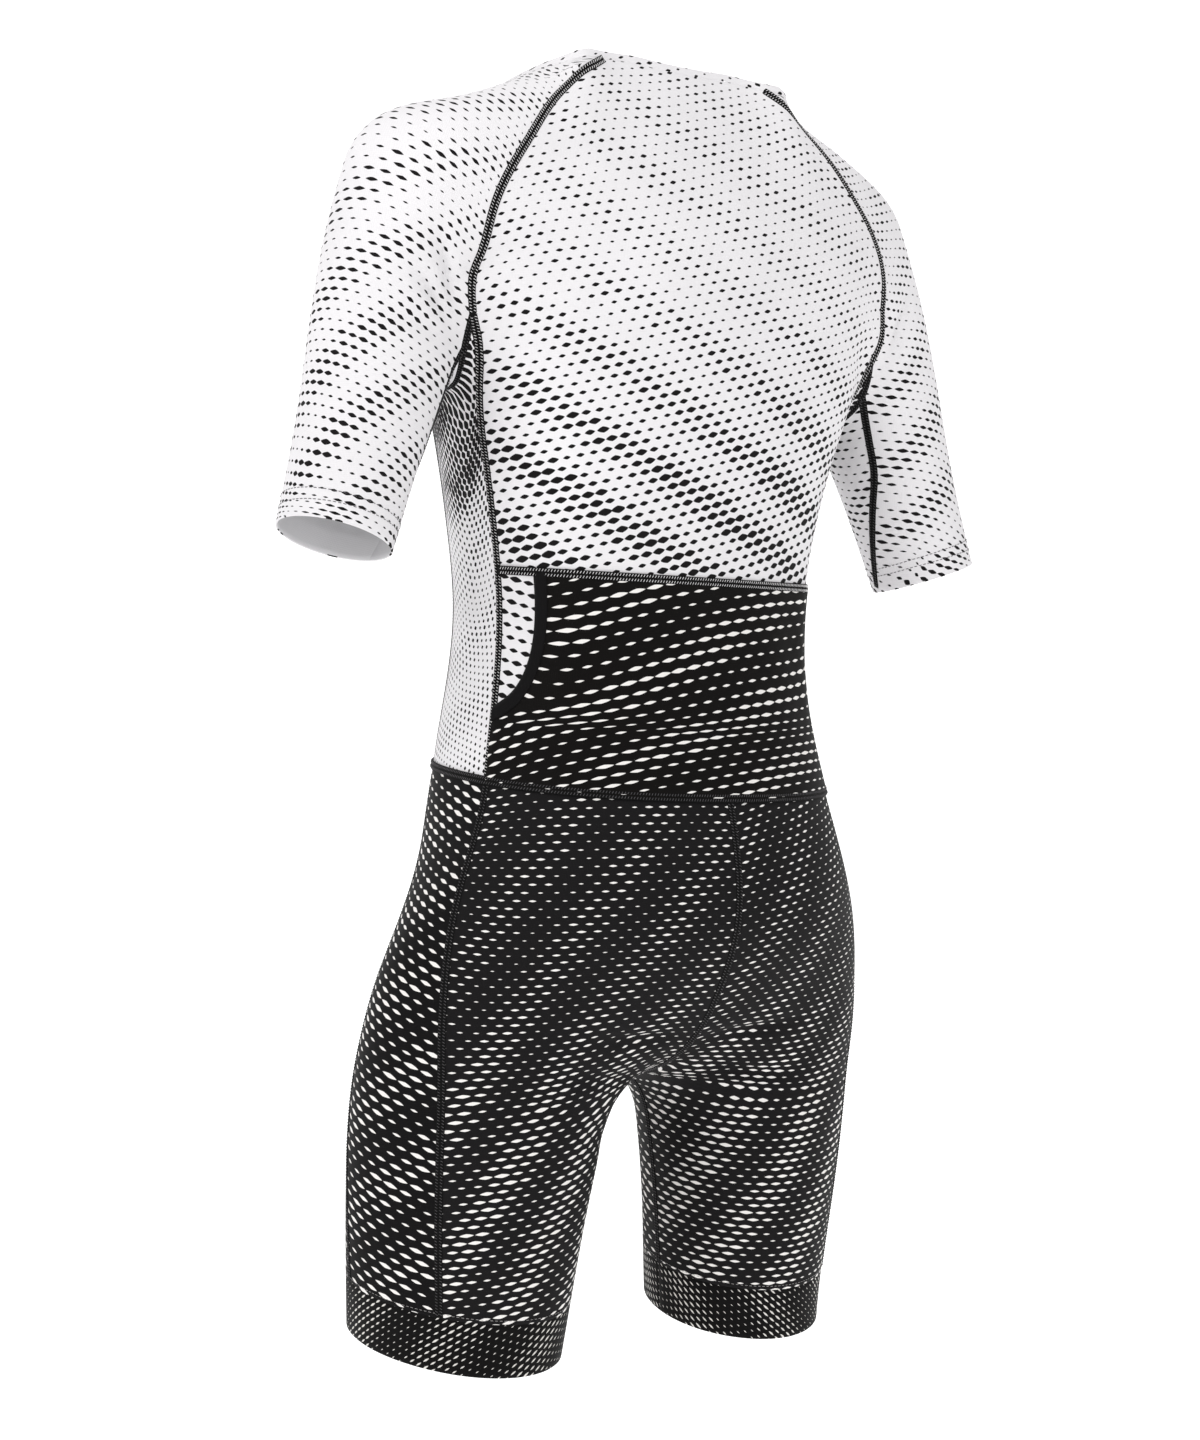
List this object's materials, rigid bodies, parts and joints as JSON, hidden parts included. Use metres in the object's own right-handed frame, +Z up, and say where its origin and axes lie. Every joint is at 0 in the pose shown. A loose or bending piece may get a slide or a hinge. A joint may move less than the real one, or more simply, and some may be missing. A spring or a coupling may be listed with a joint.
{
  "type": "cycling skinsuit",
  "caption": "Short-sleeved one-piece cycling suit in stretch knit with raglan sleeves, a flat back pocket, wide leg bands and a front zip.",
  "frame": {"origin": "where the shoulders carry the suit: on the centre line, level with the neck seam at the shoulders", "axes": "+Z up, -Y the front, +X the wearer's left"},
  "size_m": [0.6182, 0.2559, 0.9392],
  "materials": {
    "white_knit": "smooth stretch knit, printed with small black marks, soft sheen",
    "black_knit": "smooth stretch knit, printed black with small white marks, soft sheen",
    "black_tape": "matt woven and knitted tape",
    "black_metal": "satin black lacquer on die-cast zinc"
  },
  "bodies": {
    "suit": {"back_upper": "white_knit", "back_lower": "white_knit", "side_left": "white_knit", "side_right": "white_knit", "front_left": "white_knit", "front_right": "white_knit", "sleeve_left": "white_knit", "sleeve_right": "white_knit", "collar": "white_knit", "pocket": "black_knit", "pocket_binding_left": "black_tape", "pocket_binding_right": "black_tape", "short_back_left": "black_knit", "short_back_right": "black_knit", "short_side_left": "black_knit", "short_side_right": "black_knit", "short_front_left": "black_knit", "short_front_right": "black_knit", "leg_band_left": "black_knit", "leg_band_right": "black_knit", "zip": "black_tape", "zip_slider": "black_metal"},
    "pull": {"zip_pull": "black_metal"}
  },
  "joints": [
    {"name": "pull_hinge", "type": "hinge", "parent": "suit", "child": "pull", "pos_m": [0, -0.08956, -0.05163], "axis": [-1, 0, 0], "range_deg": [0, 150]}
  ]
}
